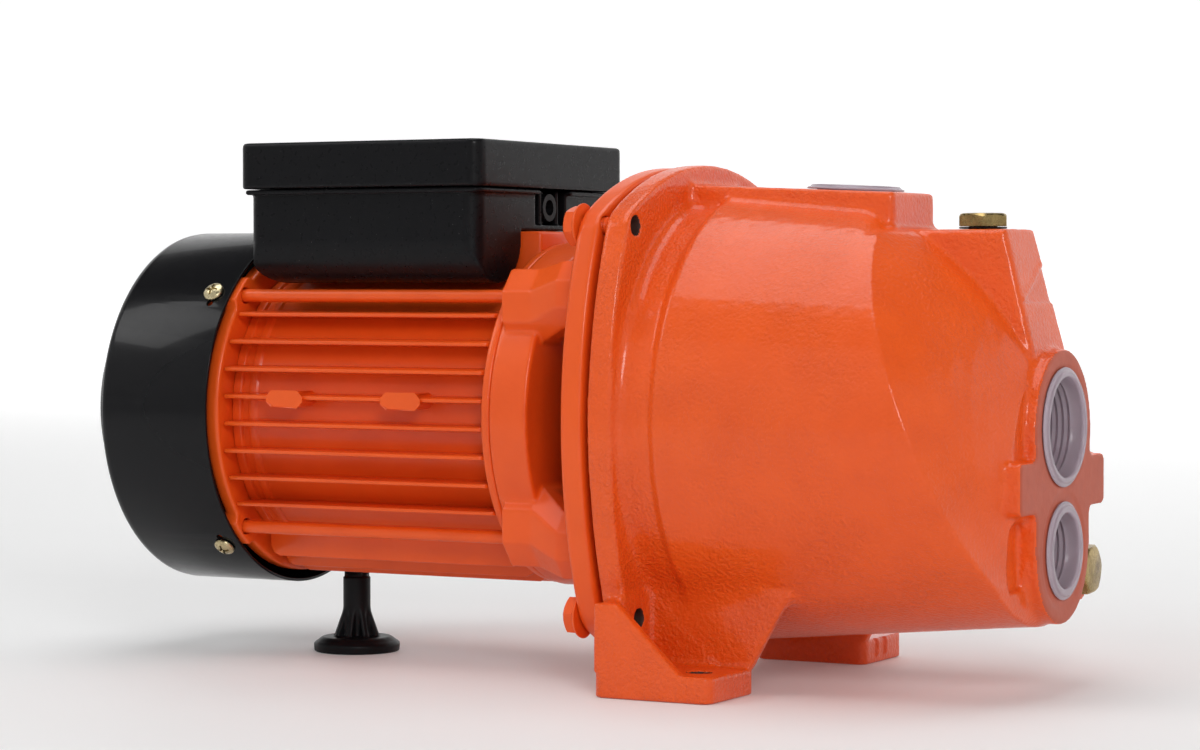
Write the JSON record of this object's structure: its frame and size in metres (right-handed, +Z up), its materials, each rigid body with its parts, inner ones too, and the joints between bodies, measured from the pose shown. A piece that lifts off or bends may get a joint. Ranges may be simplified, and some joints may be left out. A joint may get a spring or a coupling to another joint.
{
  "type": "centrifugal water pump",
  "caption": "Close-coupled electric self-priming jet pump with a finned motor, fan cover, terminal box, two threaded front ports and a top discharge port.",
  "frame": {"origin": "on the floor, under the middle of the overall length and width", "axes": "+X along the shaft towards the port plate, +Y across the pump to the drain plug side, +Z up"},
  "size_m": [0.3968, 0.1728, 0.2028],
  "materials": {
    "casing_paint": "glossy orange paint over rough cast iron",
    "motor_paint": "glossy orange paint over smooth aluminium",
    "black_paint": "gloss black enamel on sheet steel",
    "black_plastic": "semi-gloss moulded",
    "foot_plastic": "satin moulded",
    "brass": "machined",
    "yellow_zinc": "yellow zinc plate",
    "steel": "ground",
    "lamination": "stacked electrical steel",
    "copper": "varnished winding",
    "aluminium": "can",
    "milky_plastic": "translucent moulded",
    "rubber": "matte",
    "ceramic": "pale",
    "grey_plastic": "glass-filled"
  },
  "bodies": {
    "root": {"pump_casing": "casing_paint", "casing_gasket": "rubber", "diffuser": "grey_plastic", "seal_seat": "ceramic", "flange_bolt_1": "motor_paint", "flange_bolt_2": "motor_paint", "flange_bolt_3": "motor_paint", "flange_bolt_4": "motor_paint", "motor_bracket": "motor_paint", "stator_housing": "motor_paint", "stator_core": "lamination", "winding_rear": "copper", "winding_front": "copper", "rear_end_shield": "motor_paint", "wave_washer": "steel", "fan_cover": "black_paint", "motor_foot": "foot_plastic", "terminal_box_base": "black_plastic", "terminal_block": "ceramic", "capacitor": "aluminium", "cable_gland": "foot_plastic", "tie_rod_1": "motor_paint", "tie_rod_2": "motor_paint", "tie_rod_3": "motor_paint", "tie_rod_4": "motor_paint", "fan_cover_screw_1": "yellow_zinc", "fan_cover_screw_2": "yellow_zinc", "fan_cover_screw_3": "yellow_zinc", "fan_cover_screw_4": "yellow_zinc", "rear_bearing_outer": "steel", "front_bearing_outer": "steel"},
    "rotor": {"shaft": "steel", "rotor_core": "lamination", "cooling_fan": "foot_plastic", "slinger": "rubber", "seal_head": "rubber", "impeller": "brass", "impeller_nut": "brass", "rear_bearing_inner": "steel", "front_bearing_inner": "steel"},
    "rear_cage": {"rear_bearing_balls": "steel"},
    "front_cage": {"front_bearing_balls": "steel"},
    "priming_washer": {"priming_plug_washer": "rubber"},
    "priming_plug": {"priming_plug": "brass"},
    "drain_washer": {"drain_plug_washer": "rubber"},
    "drain_plug": {"drain_plug": "brass"},
    "suction_cap": {"suction_cap": "milky_plastic"},
    "pressure_cap": {"pressure_cap": "milky_plastic"},
    "discharge_cap": {"discharge_cap": "milky_plastic"},
    "lid": {"terminal_box_lid": "black_plastic", "lid_screw_1": "yellow_zinc", "lid_screw_2": "yellow_zinc", "lid_screw_3": "yellow_zinc", "lid_screw_4": "yellow_zinc"}
  },
  "joints": [
    {"name": "rotor_spin", "type": "hinge", "parent": "root", "child": "rotor", "pos_m": [0, 0, 0.098], "axis": [1, 0, 0], "continuous": true},
    {"name": "rear_cage_spin", "type": "hinge", "parent": "root", "child": "rear_cage", "pos_m": [-0.1405, 0, 0.098], "axis": [1, 0, 0], "continuous": true},
    {"name": "front_cage_spin", "type": "hinge", "parent": "root", "child": "front_cage", "pos_m": [-0.0025, 0, 0.098], "axis": [1, 0, 0], "continuous": true},
    {"name": "priming_plug_lift", "type": "slide", "parent": "root", "child": "priming_washer", "axis": [0, 0, 1], "range_m": [0, 0.0108]},
    {"name": "priming_plug_turn", "type": "hinge", "parent": "priming_washer", "child": "priming_plug", "pos_m": [0.165, 0, 0.168], "axis": [0, 0, 1], "range_deg": [0, 2880]},
    {"name": "drain_plug_lift", "type": "slide", "parent": "root", "child": "drain_washer", "axis": [1, 0, 0], "range_m": [0, 0.0108]},
    {"name": "drain_plug_turn", "type": "hinge", "parent": "drain_washer", "child": "drain_plug", "pos_m": [0.1888, 0.0372, 0.0425], "axis": [1, 0, 0], "range_deg": [0, 2880]},
    {"name": "suction_cap_pull", "type": "slide", "parent": "root", "child": "suction_cap", "axis": [1, 0, 0], "range_m": [0, 0.03]},
    {"name": "pressure_cap_pull", "type": "slide", "parent": "root", "child": "pressure_cap", "axis": [1, 0, 0], "range_m": [0, 0.03]},
    {"name": "discharge_cap_pull", "type": "slide", "parent": "root", "child": "discharge_cap", "axis": [0, 0, 1], "range_m": [0, 0.03]},
    {"name": "lid_lift", "type": "slide", "parent": "root", "child": "lid", "axis": [0, 0, 1], "range_m": [0, 0.05]}
  ],
  "couplings": [
    {"joint": "rear_cage_spin", "follows": "rotor_spin", "ratio": 0.384},
    {"joint": "front_cage_spin", "follows": "rotor_spin", "ratio": 0.384},
    {"joint": "priming_plug_lift", "follows": "priming_plug_turn", "m_per_rad": 0.00021279},
    {"joint": "drain_plug_lift", "follows": "drain_plug_turn", "m_per_rad": 0.00021279}
  ]
}
